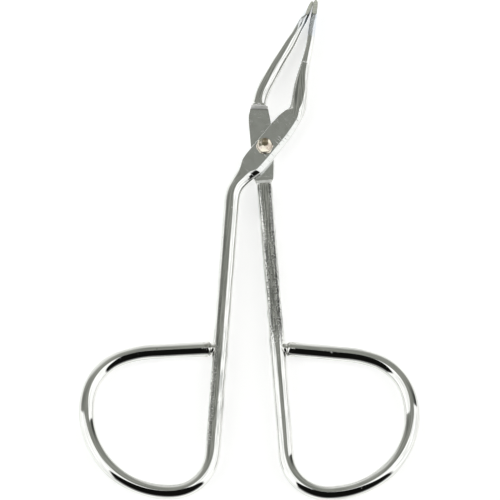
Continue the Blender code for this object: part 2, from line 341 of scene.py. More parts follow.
def smooth_rows(rows):
    """Distances, values and end slopes of a section table, for a curve through the rows without overshoot."""
    ordered = sorted(rows)
    s = np.array([row[0] for row in ordered])
    values = np.array([row[1] for row in ordered])
    steps = np.diff(s)[:, None]
    rise = np.diff(values, axis=0) / steps
    slopes = np.zeros_like(values)
    same_way = rise[1:] * rise[:-1] > 0
    w1 = 2 * steps[1:] + steps[:-1]
    w2 = steps[1:] + 2 * steps[:-1]
    with np.errstate(divide="ignore", invalid="ignore"):
        mean = (w1 + w2) / (w1 / rise[:-1] + w2 / rise[1:])
    slopes[1:-1] = np.where(same_way, mean, 0.0)
    return s, values, slopes


def section_at(table, distance):
    """The section at a distance from the pivot: straight between close rows, curved between the others."""
    s, values, slopes = table
    distance = min(max(distance, s[0]), s[-1])
    i = min(int(np.searchsorted(s, distance, side="right")) - 1, len(s) - 2)
    step = s[i + 1] - s[i]
    t = (distance - s[i]) / step
    if step < STRAIGHT_SPAN:
        return values[i] * (1 - t) + values[i + 1] * t
    h00 = (1 + 2 * t) * (1 - t) ** 2
    h10 = t * (1 - t) ** 2
    h01 = t * t * (3 - 2 * t)
    h11 = t * t * (t - 1)
    return h00 * values[i] + h10 * step * slopes[i] + h01 * values[i + 1] + h11 * step * slopes[i + 1]


def section_outline(section):
    """Lateral places, heights, slant runs and girth positions of the points round a section, and its whole
    girth. They start at the middle of the back face."""
    left, right, low, high, flat_back, flat_left, flat_right, edge_back, edge_front, slant = section
    room = high - low
    if edge_back + edge_front > room:
        shrink = room / (edge_back + edge_front)
        edge_back *= shrink
        edge_front *= shrink
    turn = np.radians(np.linspace(-90.0, 270.0, OUTLINE_STEPS))
    front = np.sin(turn) >= 0.0
    on_right = np.cos(turn) >= 0.0
    side = np.where(on_right, -right, left)
    flat = np.where(front, np.where(on_right, flat_right, flat_left), flat_back)
    edge = np.where(front, edge_front, edge_back)
    start = np.where(front, high - edge_front, low + edge_back)
    lateral = side * (flat + (1.0 - flat) * np.abs(np.cos(turn)))
    height = start + edge * np.sin(turn)
    lateral[0] = lateral[-1] = 0.0
    length = np.concatenate([[0.0], np.cumsum(np.hypot(np.diff(lateral), np.diff(height)))])
    measure = length / length[-1] + np.linspace(0.0, 1.0, len(turn))
    wanted = np.linspace(0.0, 2.0, SECTION_POINTS, endpoint=False)
    lateral = np.interp(wanted, measure, lateral)
    height = np.interp(wanted, measure, height)
    around = np.interp(wanted, measure, length)
    return lateral, height, slant * (height - (low + high) / 2.0), around, length[-1]


def ring_distances(spine):
    """Distances of an arm's rings from the pivot, from the ground end to the end of the loop."""
    distances = [spine.tip - TIP_SHORT]
    while distances[-1] > spine.loop_end + 1e-6:
        s = distances[-1]
        spacing = LOOP_RING_SPACING
        if s - spine.loop_end < LOOP_END_ZONE:
            spacing = LOOP_END_SPACING
        for far, near, zone_spacing in RING_ZONES:
            if near < s <= far:
                spacing = zone_spacing
                break
        distances.append(max(s - spacing, spine.loop_end))
    return distances


def tube_mesh(name, rings, around, along, materials=()):
    """A closed tube through equal rings, with a UV map in millimetres: girth across, distance along."""
    sides = len(rings[0])
    points = np.concatenate(rings) * MM
    faces = []
    uvs = []
    for r in range(len(rings) - 1):
        for i in range(sides):
            j = (i + 1) % sides
            a, b = r * sides, (r + 1) * sides
            faces.append((a + i, a + j, b + j, b + i))
            for ring, k in ((r, i), (r, i + 1), (r + 1, i + 1), (r + 1, i)):
                uvs.append((around[ring][k], along[ring]))
    last = (len(rings) - 1) * sides
    for cap in (tuple(reversed(range(sides))), tuple(range(last, last + sides))):
        faces.append(cap)
        uvs += [(points[i][0] / MM, points[i][1] / MM) for i in cap]
    mesh = bpy.data.meshes.new(name)
    mesh.from_pydata(points.tolist(), [], faces)
    layer = mesh.uv_layers.new(name="wire")
    layer.data.foreach_set("uv", np.array(uvs, np.float32).ravel())
    for material in materials:
        mesh.materials.append(material)
    mesh.polygons.foreach_set("use_smooth", np.ones(len(faces), bool))
    mesh.update()
    obj = bpy.data.objects.new(name, mesh)
    bpy.context.scene.collection.objects.link(obj)
    return obj


def set_attribute(obj, name, values):
    attribute = obj.data.attributes.new(name, "FLOAT", "POINT")
    attribute.data.foreach_set("value", np.asarray(values, np.float32))


def sharpen(obj, degrees):
    """Smooth shading everywhere but across edges steeper than that."""
    obj.data.set_sharp_from_angle(angle=math.radians(degrees))


def broken_edge(ring, next_ring):
    """A smaller copy of the first ring, a little further out, that breaks the edge of the ground end."""
    middle = ring.mean(axis=0)
    outward = np.cross(ring[SECTION_POINTS // 4] - middle, ring[SECTION_POINTS // 2] - middle)
    outward /= np.linalg.norm(outward)
    if outward @ (middle - next_ring.mean(axis=0)) < 0.0:
        outward = -outward
    return middle + (ring - middle) * TIP_INSET + outward * TIP_EDGE


def make_arm(name, spine, sections, tip_line, finish, shaded_side, pits_between, material):
    """One arm, from ground end to the end of its loop. The jaw's inner side, which carries the painted gap
    shade, is 1 for left, -1 for right.
    """
    table = smooth_rows(sections)
    slanted = np.array([math.cos(math.radians(tip_line)), math.sin(math.radians(tip_line)), 0.0])
    distances = ring_distances(spine)
    past, radii = zip(*LOOP_END_TAPER)
    near, far = pits_between
    rings, around, gap_shades, pits = [], [], [], []
    for s in distances:
        x, y, angle = spine.at(s)
        across = np.array([-math.sin(angle), math.cos(angle), 0.0])
        lateral, height, run, girth, whole = section_outline(section_at(table, s))
        shrink = float(np.interp(s - spine.loop_end, past, radii)) / WIRE_R
        lateral, height = lateral * shrink, height * shrink
        ring = np.array([x, y, WIRE_MID_Z]) + lateral[:, None] * across + run[:, None] * slanted
        ring[:, 2] += height
        rings.append(ring)
        around.append(np.append(girth, whole))
        # Painted shade mask: the jaw's inner side
        gap_shades.append(np.clip(shaded_side * lateral / GAP_SHADE_REACH - 1.0, 0.0, 1.0))
        past_near = np.clip((lateral - near) / PIT_SOFT, 0.0, 1.0)
        before_far = np.clip((far - lateral) / PIT_SOFT, 0.0, 1.0)
        pits.append(past_near * before_far * (height > 0.0))
    rings.insert(0, broken_edge(rings[0], rings[1]))
    around.insert(0, around[0])
    gap_shades.insert(0, gap_shades[0] * 0.0)
    pits.insert(0, pits[0])
    distances.insert(0, distances[0] + TIP_EDGE)
    arm = tube_mesh(name, rings, around, distances, [material])
    s = np.repeat(distances, SECTION_POINTS)
    places_shown = {"grip": np.concatenate(gap_shades), "pitted": np.concatenate(pits)}
    for attribute, rows in finish.items():
        places, strengths = zip(*rows)
        set_attribute(arm, attribute, np.interp(s, places, strengths) * places_shown.get(attribute, 1.0))
    return arm


def cut_rivet_hole(arm):
    """Takes the rivet's hole out of a lobe."""
    turns = np.arange(DRILL_SIDES) * math.tau / DRILL_SIDES
    px, py = RIVET_HOLE_R * np.cos(turns), RIVET_HOLE_R * np.sin(turns)
    rings = [np.stack([px, py, np.full(DRILL_SIDES, z)], axis=1) for z in (DRILL_FROM, DRILL_TO)]
    around = [np.linspace(0.0, DRILL_UV, DRILL_SIDES + 1)] * 2
    drill = tube_mesh("drill", rings, around, (0.0, DRILL_UV))
    modifier = arm.modifiers.new("hole", "BOOLEAN")
    modifier.operation = "DIFFERENCE"
    modifier.solver = "EXACT"
    modifier.object = drill
    graph = bpy.context.evaluated_depsgraph_get()
    mesh = bpy.data.meshes.new_from_object(arm.evaluated_get(graph))
    arm.modifiers.clear()
    arm.data = mesh
    bpy.data.objects.remove(drill, do_unlink=True)


# ---------------------------------------------------------------- weld beads


def lumps(u, v, seed):
    """A small smooth unevenness, the same on each run: a sum of a few waves, about -1 to 1."""
    random = np.random.default_rng(seed)
    total = np.zeros(np.broadcast(u, v).shape)
    for _ in range(7):
        fu, fv = random.uniform(0.6, 2.6, 2)
        phase = random.uniform(0.0, math.tau)
        total += np.sin(fu * u + fv * v + phase) * random.uniform(0.5, 1.0)
    return total / 3.0


def spline_points(controls, count):
    """Points of a smooth curve drawn by a row of control points, from its second to its last but one."""
    controls = np.asarray(controls)
    spans = len(controls) - 3
    points = []
    for k in range(count):
        place = min(k / (count - 1) * spans, spans - 1e-9)
        i = int(place)
        t = place - i
        weights = [(1 - t) ** 3, 3 * t**3 - 6 * t**2 + 4, -3 * t**3 + 3 * t**2 + 3 * t + 1, t**3]
        points.append(np.tensordot(np.array(weights) / 6.0, controls[i : i + 4], axes=1))
    return points


def make_bead(name, spine, seed, material):
    """The neck of weld metal from the tapered end of a loop onto the round side of its own shank."""
    x, y, angle = spine.at(spine.loop_end)
    axis = np.array([-math.cos(angle), -math.sin(angle), 0.0])
    sx, sy, shank_angle = spine.at(-SHANK_WELD)
    along = np.array([math.cos(shank_angle), math.sin(shank_angle), 0.0])
    up = np.array([0.0, 0.0, 1.0])
    end = np.array([x, y, WIRE_MID_Z])
    shank = np.array([sx, sy, WIRE_MID_Z])
    towards = np.cross(along, up)
    if towards @ axis < 0.0:
        towards = -towards
    across = np.cross(up, axis)
    if across @ along < 0.0:
        across = -across
    turns = np.arange(BEAD_POINTS) * math.tau / BEAD_POINTS
    side, rise = np.cos(turns), np.sin(turns)
    outward = across[None, :] * side[:, None] + up[None, :] * rise[:, None]
    controls = [end + axis * reach + outward * radius for reach, radius in NECK_PROFILE]
    neck = controls[-1]
    depth = (shank - neck) @ towards
    height = neck[:, 2] - WIRE_MID_Z
    wire = WIRE_R + BEAD_PROUD
    travel = (depth - np.sqrt(wire**2 - height**2)) / (axis @ towards)
    meet = neck + axis[None, :] * travel[:, None]
    controls.append(meet)
    for spread in (0.5, 1.0):
        met = np.arcsin(height / wire)
        turned = met + rise * BEAD_SPREAD * spread / wire
        foot = meet + along[None, :] * (BEAD_SPREAD * spread * side)[:, None]
        foot += towards[None, :] * (wire * (np.cos(met) - np.cos(turned)))[:, None]
        foot[:, 2] = WIRE_MID_Z + wire * np.sin(turned)
        controls.append(foot)
    controls.append(2 * controls[-1] - controls[-2])
    rings = spline_points(controls, BEAD_RINGS)
    for k, ring in enumerate(rings):
        share = k / (BEAD_RINGS - 1)
        uneven = lumps(turns * BEAD_LUMP_WAVES[0], share * BEAD_LUMP_WAVES[1], seed) * BEAD_LUMP
        rings[k] = ring + outward * (uneven * math.sin(math.pi * share))[:, None]
    rings.insert(0, end + (rings[0] - end) * BEAD_END_INSET)
    rings.append(shank + (rings[-1] - shank) * np.array(BEAD_FOOT_INSET))
    girth = np.linspace(0.0, math.tau * WIRE_R, BEAD_POINTS + 1)
    distances = np.linspace(0.0, BEAD_LENGTH, len(rings))
    return tube_mesh(name, rings, [girth] * len(rings), distances, [material])


# ---------------------------------------------------------------- rivet


def rivet_profile():
    """Radius and height of each ring, from the middle of the tail's flat end to the crown."""
    rim_top = HEAD_SEAT_Z + HEAD_RIM
    profile = [
        (TAIL_MIDDLE_R, 0.0),
        (TAIL_R - TAIL_CHAMFER - 0.04, 0.0),
        (TAIL_R - TAIL_CHAMFER, 0.01),
        (TAIL_R - 0.02, TAIL_CHAMFER - 0.02),
        (TAIL_R, TAIL_CHAMFER + 0.03),
        (TAIL_R, TAIL_HIGH - 0.06),
        (TAIL_R - 0.02, TAIL_HIGH - 0.01),
        (TAIL_R - 0.06, TAIL_HIGH),
        (RIVET_R, TAIL_HIGH),
        (RIVET_R, HEAD_SEAT_Z),
        (HEAD_R - 0.10, HEAD_SEAT_Z),
        (HEAD_R - 0.03, HEAD_SEAT_Z + 0.02),
        (HEAD_R, HEAD_SEAT_Z + 0.07),
        (HEAD_R, HEAD_SEAT_Z + 0.12),
        (HEAD_R - 0.02, HEAD_SEAT_Z + 0.15),
        (CROWN_R + 0.06, rim_top + 0.05),
        (CROWN_R + 0.03, rim_top + 0.05),
        (CROWN_R + 0.01, rim_top - 0.02),
    ]
    for i in range(1, DOME_RINGS):
        angle = math.radians(90.0 * i / DOME_RINGS)
        profile.append((CROWN_R * math.cos(angle), rim_top + HEAD_DOME * math.sin(angle)))
    return profile


def crown_height(px, py, radius):
    """Heights on the hammered crown: facets leaning out to several sides, the punch mark and faint dents."""
    facing = []
    for degrees, steepness in CROWN_FACETS:
        turn = math.radians(degrees)
        facing.append(steepness * (px * math.cos(turn) + py * math.sin(turn)))
    out = np.clip(np.max(facing, axis=0) / CROWN_R, 0.0, 1.0)
    high = HEAD_SEAT_Z + HEAD_RIM + HEAD_DOME * np.sqrt(1.0 - out**2)
    off = np.hypot(px - PUNCH_AT[0], py - PUNCH_AT[1]) / PUNCH_R
    high -= PUNCH_DEPTH * np.clip(1.0 - off**2, 0.0, 1.0) ** 1.5
    dents = lumps(px * DOME_LUMP_WAVES, py * DOME_LUMP_WAVES, DOME_SEED) - 1.0
    return high + DOME_LUMP * dents * (1.0 - (radius / HEAD_R) ** 2)


def fade_out(distance, reach, soft):
    """1 within the reach, 0 past it by more than the soft width."""
    return np.clip((reach + soft - distance) / soft, 0.0, 1.0)


def make_rivet(name, material):
    """A brass rivet: turned tail and shaft, and a hammered head."""
    profile = rivet_profile()
    turns = np.arange(RIVET_SIDES) * math.tau / RIVET_SIDES
    flat_turn = math.tau / RIM_FLATS
    off_flat = (turns - RIM_FLAT_TURN + flat_turn / 2) % flat_turn - flat_turn / 2
    flats = np.minimum(1.0, RIM_FLAT_REACH / np.cos(off_flat))
    flats = np.where(np.sin(turns) > RIM_ROUND_ABOVE, 1.0, flats)
    rings, around, dark_reflected, right_tinted = [], [], [], []
    for radius, z in profile:
        reach = np.full(RIVET_SIDES, radius)
        high = np.full(RIVET_SIDES, z)
        if z > HEAD_SEAT_Z:
            share = min(1.0, (radius / HEAD_R) ** 3)
            reach *= 1.0 + (flats - 1.0) * share
        px, py = reach * np.cos(turns), reach * np.sin(turns)
        on_crown = z > HEAD_SEAT_Z + HEAD_RIM
        # Painted reflection: a brown patch on the crown standing in for the dark reflection that the dome
        # shows
        share = np.clip((py - DARK_REFLECTION_Y[0]) / (DARK_REFLECTION_Y[1] - DARK_REFLECTION_Y[0]), 0.0, 1.0)
        off = np.hypot(px - DARK_REFLECTION_X, py - (DARK_REFLECTION_Y[0] + share * (DARK_REFLECTION_Y[1] - DARK_REFLECTION_Y[0])))
        reflection_r = DARK_REFLECTION_R[0] + share * (DARK_REFLECTION_R[1] - DARK_REFLECTION_R[0])
        dark_reflected.append(fade_out(off, reflection_r, DARK_REFLECTION_SOFT) * on_crown)
        off = np.hypot(px - RIGHT_TINT_AT[0], py - RIGHT_TINT_AT[1])
        right_tinted.append(fade_out(off, RIGHT_TINT_R, RIGHT_TINT_SOFT) * on_crown)
        if on_crown and radius < CROWN_R:
            high = crown_height(px, py, radius)
        rings.append(np.stack([px, py, high], axis=1))
        around.append(np.linspace(0.0, math.tau * HEAD_R, RIVET_SIDES + 1))
    rivet = tube_mesh(name, rings, around, [z for _, z in profile], [material])
    set_attribute(rivet, "dark_reflection", np.concatenate(dark_reflected))
    set_attribute(rivet, "right_tint", np.concatenate(right_tinted))
    return rivet


# ---------------------------------------------------------------- materials

# Colours are linear. The plate is nickel-chrome over drawn steel wire, with pressed flats and ground tips.
PLATE = (0.685, 0.69, 0.668, 1.0)
PLATE_STREAK = (0.55, 0.56, 0.54, 1.0)
PLATE_PRESSED = (0.60, 0.612, 0.598, 1.0)
PLATE_WORN = (0.25, 0.26, 0.25, 1.0)
PLATE_SATIN = (0.57, 0.60, 0.63, 1.0)
PIT = (0.12, 0.12, 0.11, 1.0)
# Painted highlight for the steps beside the lap
PAINTED_STEP_HIGHLIGHT = (0.97, 0.97, 0.955, 1.0)
GROUND_STEEL = (0.33, 0.34, 0.295, 1.0)
GROUND_LIGHT = (0.50, 0.51, 0.46, 1.0)
GROUND_EDGE_LINE = (0.08, 0.08, 0.07, 1.0)
# Painted shade for the gap between the jaws' ends
PAINTED_GAP_SHADE = (0.02, 0.02, 0.018, 1.0)
WELD_PLATE = (0.62, 0.625, 0.60, 1.0)
WELD_HEAT = (0.40, 0.39, 0.36, 1.0)
BRASS = (0.64, 0.60, 0.50, 1.0)
BRASS_WARM = (0.54, 0.48, 0.43, 1.0)
BRASS_RIGHT_TINT = (0.38, 0.32, 0.27, 1.0)
# Dull brass, also the colour of the painted dark reflection on the crown
BRASS_DULL_AND_DARK_REFLECTION = (0.25, 0.21, 0.145, 1.0)

# Patterns on the plate: features per millimetre round the girth and along the wire, seed, detail, and the
# levels of the noise between which the pattern fades in
PLATE_PATTERNS = {
    "streak": (2.4, 0.10, 3.0, 3.0, 0.42, 0.68),
    "fine": (9.0, 0.35, 7.0, 3.0, 0.50, 0.75),
    "wear": (4.5, 0.22, 53.0, 3.0, 0.44, 0.60),
    "brushing": (0.45, 7.0, 11.0, 4.0, 0.35, 0.70),
    "scratches": (0.35, 5.0, 19.0, 1.0, 0.68, 0.76),
    "clouds": (0.8, 0.9, 41.0, 4.0, 0.30, 0.75),
    "spots": (3.4, 2.2, 23.0, 2.0, 0.52, 0.60),
    "stray spots": (1.9, 1.6, 31.0, 1.0, 0.76, 0.80),
}
FINE_SHARE = 0.35
WEAR_BASE = 0.08
WEAR_SHARE = 0.85
SCRATCH_SHARE = 0.7
SCRATCH_BRIGHT = 0.6
STRAY_SHARE = 0.6
GROUND_EDGE_LINE_LEVELS = (0.25, 0.75, 0.12)
GAP_SHADE_LEVELS = (0.1, 0.5)

# Roughness of the bare plate, and what each finish adds to it
PLATE_ROUGH = 0.035
FINE_ROUGH_LEVELS = (0.4, 0.8)
FINE_ROUGH = 0.03
PRESSED_ROUGH = 0.06
SCRATCH_ROUGH = 0.25
PIT_ROUGH = 0.35
SATIN_ROUGH = 0.22
GROUND_ROUGH = 0.33
STEP_HIGHLIGHT_ROUGH = 0.42

# Relief of the plate
PEEL_SIZE = 1.3
PEEL_DEPTH = 0.0012
STREAK_DEPTH = 0.0025
FINE_DEPTH = 0.0004
BRUSHING_DEPTH = 0.0015
PRESSED_BRUSHING = 0.25
PIT_DEPTH = 0.018

# Patterns in weld metal and brass: size of the features, seed, detail, and the levels between which they show
WELD_PATTERNS = {
    "ripple": (0.55, 0.3, 3.0, 0.0, 1.0),
    "heat": (0.90, 0.7, 3.0, 0.52, 0.70),
    "pores": (0.22, 1.1, 1.0, 0.68, 0.74),
}
WELD_ROUGH = 0.09
WELD_HEAT_SHARE = 0.7
WELD_HEAT_ROUGH = 0.10
WELD_PORE_ROUGH = 0.3
WELD_RIPPLE_DEPTH = 0.012
WELD_PORE_DEPTH = 0.006
BRASS_PATTERNS = {
    "patches": (0.80, 0.2, 3.0, 0.42, 0.66),
    "fine": (0.16, 0.9, 3.0, 0.55, 0.75),
    "rubbing": (0.30, 2.0, 2.0, 0.35, 0.65),
    "hammering": (0.50, 0.5, 2.0, 0.0, 1.0),
}
BRASS_ROUGH = 0.13
BRASS_PATCH_ROUGH = 0.08
BRASS_DARK_REFLECTION_ROUGH = 0.15
BRASS_FINE_SHARE = 0.4
BRASS_RIGHT_TINT_SHARE = 0.5
BRASS_HAMMER_DEPTH = 0.010
BRASS_FINE_DEPTH = 0.0025


class Graph:
    """Short names for building a chain of nodes in a node tree."""

    def __init__(self, tree):
        self.tree = tree

    def node(self, kind, **settings):
        node = self.tree.nodes.new(kind)
        for name, value in settings.items():
            setattr(node, name, value)
        return node

    def put(self, socket, value):
        if isinstance(value, bpy.types.NodeSocket):
            self.tree.links.new(value, socket)
        else:
            socket.default_value = value

    def math(self, operation, *values, clamp=False):
        node = self.node("ShaderNodeMath", operation=operation, use_clamp=clamp)
        for socket, value in zip(node.inputs, values):
            self.put(socket, value)
        return node.outputs[0]

    def add(self, a, b):
        return self.math("ADD", a, b)

    def subtract(self, a, b):
        return self.math("SUBTRACT", a, b)

    def multiply(self, a, b):
        return self.math("MULTIPLY", a, b)

    def step(self, value, low, high):
        """0 below low, 1 above high, smooth between."""
        node = self.node("ShaderNodeMapRange", interpolation_type="SMOOTHSTEP")
        self.put(node.inputs["Value"], value)
        self.put(node.inputs["From Min"], low)
        self.put(node.inputs["From Max"], high)
        return node.outputs[0]

    def between(self, value, low, high, soft):
        """1 from low to high, 0 outside, with soft edges."""
        rising = self.step(value, low - soft, low + soft)
        return self.multiply(rising, self.subtract(1.0, self.step(value, high - soft, high + soft)))

    def curve(self, value, points):
        """A smooth curve through a table of (value, result)."""
        xs = [x for x, _ in points]
        ys = [y for _, y in points]
        node = self.node("ShaderNodeFloatCurve")
        shape = node.mapping.curves[0]
        low, tall = min(ys), max(ys) - min(ys)
        wanted = [((x - xs[0]) / (xs[-1] - xs[0]), (y - low) / tall) for x, y in points]
        shape.points[0].location = wanted[0]
        shape.points[1].location = wanted[-1]
        for place in wanted[1:-1]:
            shape.points.new(*place)
        node.mapping.update()
        place = self.math("DIVIDE", self.subtract(value, xs[0]), xs[-1] - xs[0], clamp=True)
        self.put(node.inputs["Value"], place)
        return self.add(self.multiply(node.outputs[0], tall), low)

    def mix(self, share, first, second):
        node = self.node("ShaderNodeMix", data_type="RGBA")
        self.put(node.inputs[0], share)
        self.put(node.inputs[6], first)
        self.put(node.inputs[7], second)
        return node.outputs[2]

    def attribute(self, name):
        return self.node("ShaderNodeAttribute", attribute_name=name).outputs["Fac"]

    def wire_places(self):
        """Millimetres round the girth and along the wire, from the UV map."""
        split = self.node("ShaderNodeSeparateXYZ")
        self.put(split.inputs[0], self.node("ShaderNodeUVMap", uv_map="wire").outputs[0])
        return split.outputs[0], split.outputs[1]

    def grain(self, x, y, seed, detail):
        """Noise over two places already scaled to the size of its features; about 0.25 to 0.75."""
        place = self.node("ShaderNodeCombineXYZ")
        for socket, value in zip(place.inputs, (x, y, seed)):
            self.put(socket, value)
        noise = self.node("ShaderNodeTexNoise")
        self.put(noise.inputs["Vector"], place.outputs[0])
        noise.inputs["Scale"].default_value = 1.0
        noise.inputs["Detail"].default_value = detail
        return noise.outputs[0]

    def on_wire(self, patterns):
        """Noise and strength of each pattern that lies along the wire, by name."""
        girth, along = self.wire_places()
        noise, strength = {}, {}
        for name, (across_scale, along_scale, seed, detail, low, high) in patterns.items():
            across_wire = self.multiply(girth, across_scale)
            along_wire = self.multiply(along, along_scale)
            noise[name] = self.grain(across_wire, along_wire, seed, detail)
            strength[name] = self.step(noise[name], low, high)
        return noise, strength

    def in_solid(self, patterns):
        """Noise and strength of each pattern that fills the solid, by name."""
        noise, strength = {}, {}
        for name, (size, seed, detail, low, high) in patterns.items():
            noise[name] = self.peel(size, seed, detail)
            strength[name] = self.step(noise[name], low, high)
        return noise, strength

    def peel(self, size, seed, detail=2.0):
        """Noise in the solid itself, with features of that size in millimetres."""
        place = self.node("ShaderNodeVectorMath", operation="ADD")
        self.put(place.inputs[0], self.node("ShaderNodeTexCoord").outputs["Object"])
        place.inputs[1].default_value = (seed, 0.0, 0.0)
        noise = self.node("ShaderNodeTexNoise")
        self.put(noise.inputs["Vector"], place.outputs[0])
        noise.inputs["Scale"].default_value = 1.0 / (size * MM)
        noise.inputs["Detail"].default_value = detail
        return noise.outputs[0]

    def bump(self, height, depth, below=None):
        """A height of 0 to 1 turned into relief that is so many millimetres deep."""
        node = self.node("ShaderNodeBump")
        node.inputs["Strength"].default_value = 1.0
        node.inputs["Distance"].default_value = depth * MM
        self.put(node.inputs["Height"], height)
        if below is not None:
            self.put(node.inputs["Normal"], below)
        return node.outputs[0]


def new_metal(name):
    material = bpy.data.materials.new(name)
    material.use_nodes = True
    shader = material.node_tree.nodes["Principled BSDF"]
    shader.inputs["Metallic"].default_value = 1.0
    return material, shader, Graph(material.node_tree)


def make_plate(name):
    """Bright plate on drawn wire: draw lines and worn streaks along it, faint orange peel, clusters of pits.
    The pressed flats are greyer and finely brushed across, with a few scratches; the steps beside the lap
    carry a painted highlight, a near-white band; the jaws turn satin before their ground ends, with a dark
    line round the ground end and a near-black painted shade on their inner sides by the ends, where the gap
    between them lies in shade."""
    material, shader, g = new_metal(name)
    noise, pattern = g.on_wire(PLATE_PATTERNS)
    finish = {each: g.attribute(each) for each in FINISHES}
    scratches = g.multiply(g.multiply(pattern["scratches"], finish["pressed"]), SCRATCH_SHARE)
    scratches = g.math("MAXIMUM", scratches, finish["nick"])
    pits = g.multiply(pattern["spots"], finish["pitted"])
    pits = g.math("MAXIMUM", pits, g.multiply(pattern["stray spots"], STRAY_SHARE))
    wear = g.multiply(pattern["wear"], g.add(WEAR_BASE, g.multiply(finish["worn"], WEAR_SHARE)))

    colour = g.mix(pattern["streak"], PLATE, PLATE_STREAK)
    colour = g.mix(g.multiply(pattern["fine"], FINE_SHARE), colour, PLATE_STREAK)
    colour = g.mix(wear, colour, PLATE_WORN)
    colour = g.mix(finish["pressed"], colour, g.mix(pattern["clouds"], PLATE_PRESSED, PLATE_STREAK))
    colour = g.mix(g.multiply(scratches, SCRATCH_BRIGHT), colour, PLATE)
    colour = g.mix(pits, colour, PIT)
    colour = g.mix(finish["satin"], colour, PLATE_SATIN)
    colour = g.mix(finish["ground"], colour, g.mix(pattern["brushing"], GROUND_STEEL, GROUND_LIGHT))
    colour = g.mix(g.between(finish["ground"], *GROUND_EDGE_LINE_LEVELS), colour, GROUND_EDGE_LINE)
    # Painted highlight: a near-white band on the steps beside the lap, standing in for the light that their
    # rounded edges catch
    colour = g.mix(finish["sheared"], colour, PAINTED_STEP_HIGHLIGHT)
    # Painted shade: near black on the jaws' inner sides by their ends, standing in for the shade in the gap
    # between them
    colour = g.mix(g.step(finish["grip"], *GAP_SHADE_LEVELS), colour, PAINTED_GAP_SHADE)
    g.put(shader.inputs["Base Color"], colour)

    rough = PLATE_ROUGH
    for strength, more in (
        (g.step(noise["fine"], *FINE_ROUGH_LEVELS), FINE_ROUGH),
        (finish["pressed"], PRESSED_ROUGH),
        (scratches, SCRATCH_ROUGH),
        (pits, PIT_ROUGH),
        (finish["satin"], SATIN_ROUGH),
        (finish["ground"], GROUND_ROUGH),
        (finish["sheared"], STEP_HIGHLIGHT_ROUGH),
    ):
        rough = g.add(rough, g.multiply(strength, more))
    g.put(shader.inputs["Roughness"], rough)

    brushed = g.add(g.multiply(finish["pressed"], PRESSED_BRUSHING), finish["ground"])
    relief = g.bump(g.peel(PEEL_SIZE, 0.0), PEEL_DEPTH)
    relief = g.bump(g.multiply(noise["streak"], g.subtract(1.0, finish["pressed"])), STREAK_DEPTH, relief)
    relief = g.bump(noise["fine"], FINE_DEPTH, relief)
    relief = g.bump(g.multiply(noise["brushing"], brushed), BRUSHING_DEPTH, relief)
    relief = g.bump(g.subtract(1.0, g.math("MAXIMUM", pits, scratches)), PIT_DEPTH, relief)
    g.put(shader.inputs["Normal"], relief)
    return material


def make_weld_metal(name):
    """Plate over weld metal: rippled, slightly duller, with heat-darkened patches and small pores."""
    material, shader, g = new_metal(name)
    noise, pattern = g.in_solid(WELD_PATTERNS)
    colour = g.mix(g.multiply(pattern["heat"], WELD_HEAT_SHARE), WELD_PLATE, WELD_HEAT)
    colour = g.mix(pattern["pores"], colour, PIT)
    g.put(shader.inputs["Base Color"], colour)
    rough = g.add(WELD_ROUGH, g.multiply(pattern["heat"], WELD_HEAT_ROUGH))
    g.put(shader.inputs["Roughness"], g.add(rough, g.multiply(pattern["pores"], WELD_PORE_ROUGH)))
    relief = g.bump(noise["ripple"], WELD_RIPPLE_DEPTH)
    relief = g.bump(g.subtract(1.0, pattern["pores"]), WELD_PORE_DEPTH, relief)
    g.put(shader.inputs["Normal"], relief)
    return material


def make_brass(name):
    """Hammered brass: pale where it is rubbed bright, warmer in patches, darker and redder on the right side,
    and dull and brown where a dark reflection is painted on the crown."""
    material, shader, g = new_metal(name)
    noise, pattern = g.in_solid(BRASS_PATTERNS)
    dark_reflection = g.attribute("dark_reflection")
    rubbed = g.add(BRASS_RIGHT_TINT_SHARE, g.multiply(pattern["rubbing"], 1.0 - BRASS_RIGHT_TINT_SHARE))
    colour = g.mix(pattern["patches"], BRASS, BRASS_WARM)
    colour = g.mix(g.multiply(pattern["fine"], BRASS_FINE_SHARE), colour, BRASS_DULL_AND_DARK_REFLECTION)
    colour = g.mix(g.multiply(g.attribute("right_tint"), rubbed), colour, BRASS_RIGHT_TINT)
    # Painted reflection: dull brown where the dark reflection is painted on the crown
    colour = g.mix(dark_reflection, colour, BRASS_DULL_AND_DARK_REFLECTION)
    g.put(shader.inputs["Base Color"], colour)
    rough = g.add(BRASS_ROUGH, g.multiply(pattern["patches"], BRASS_PATCH_ROUGH))
    g.put(shader.inputs["Roughness"], g.add(rough, g.multiply(dark_reflection, BRASS_DARK_REFLECTION_ROUGH)))
    relief = g.bump(noise["hammering"], BRASS_HAMMER_DEPTH)
    relief = g.bump(noise["fine"], BRASS_FINE_DEPTH, relief)
    g.put(shader.inputs["Normal"], relief)
    return material


# ---------------------------------------------------------------- pieces

ARM_EDGE_ANGLE = 32.0
BEAD_EDGE_ANGLE = 40.0
RIVET_EDGE_ANGLE = 12.0

front_spine = Spine(FRONT_START, FRONT_HEADING, FRONT_TO_TIP, FRONT_TO_LOOP)
rear_spine = Spine(REAR_START, REAR_HEADING, REAR_TO_TIP, REAR_TO_LOOP)

plate = make_plate("bright_plate")
weld_metal = make_weld_metal("plated_weld")
brass = make_brass("hammered_brass")

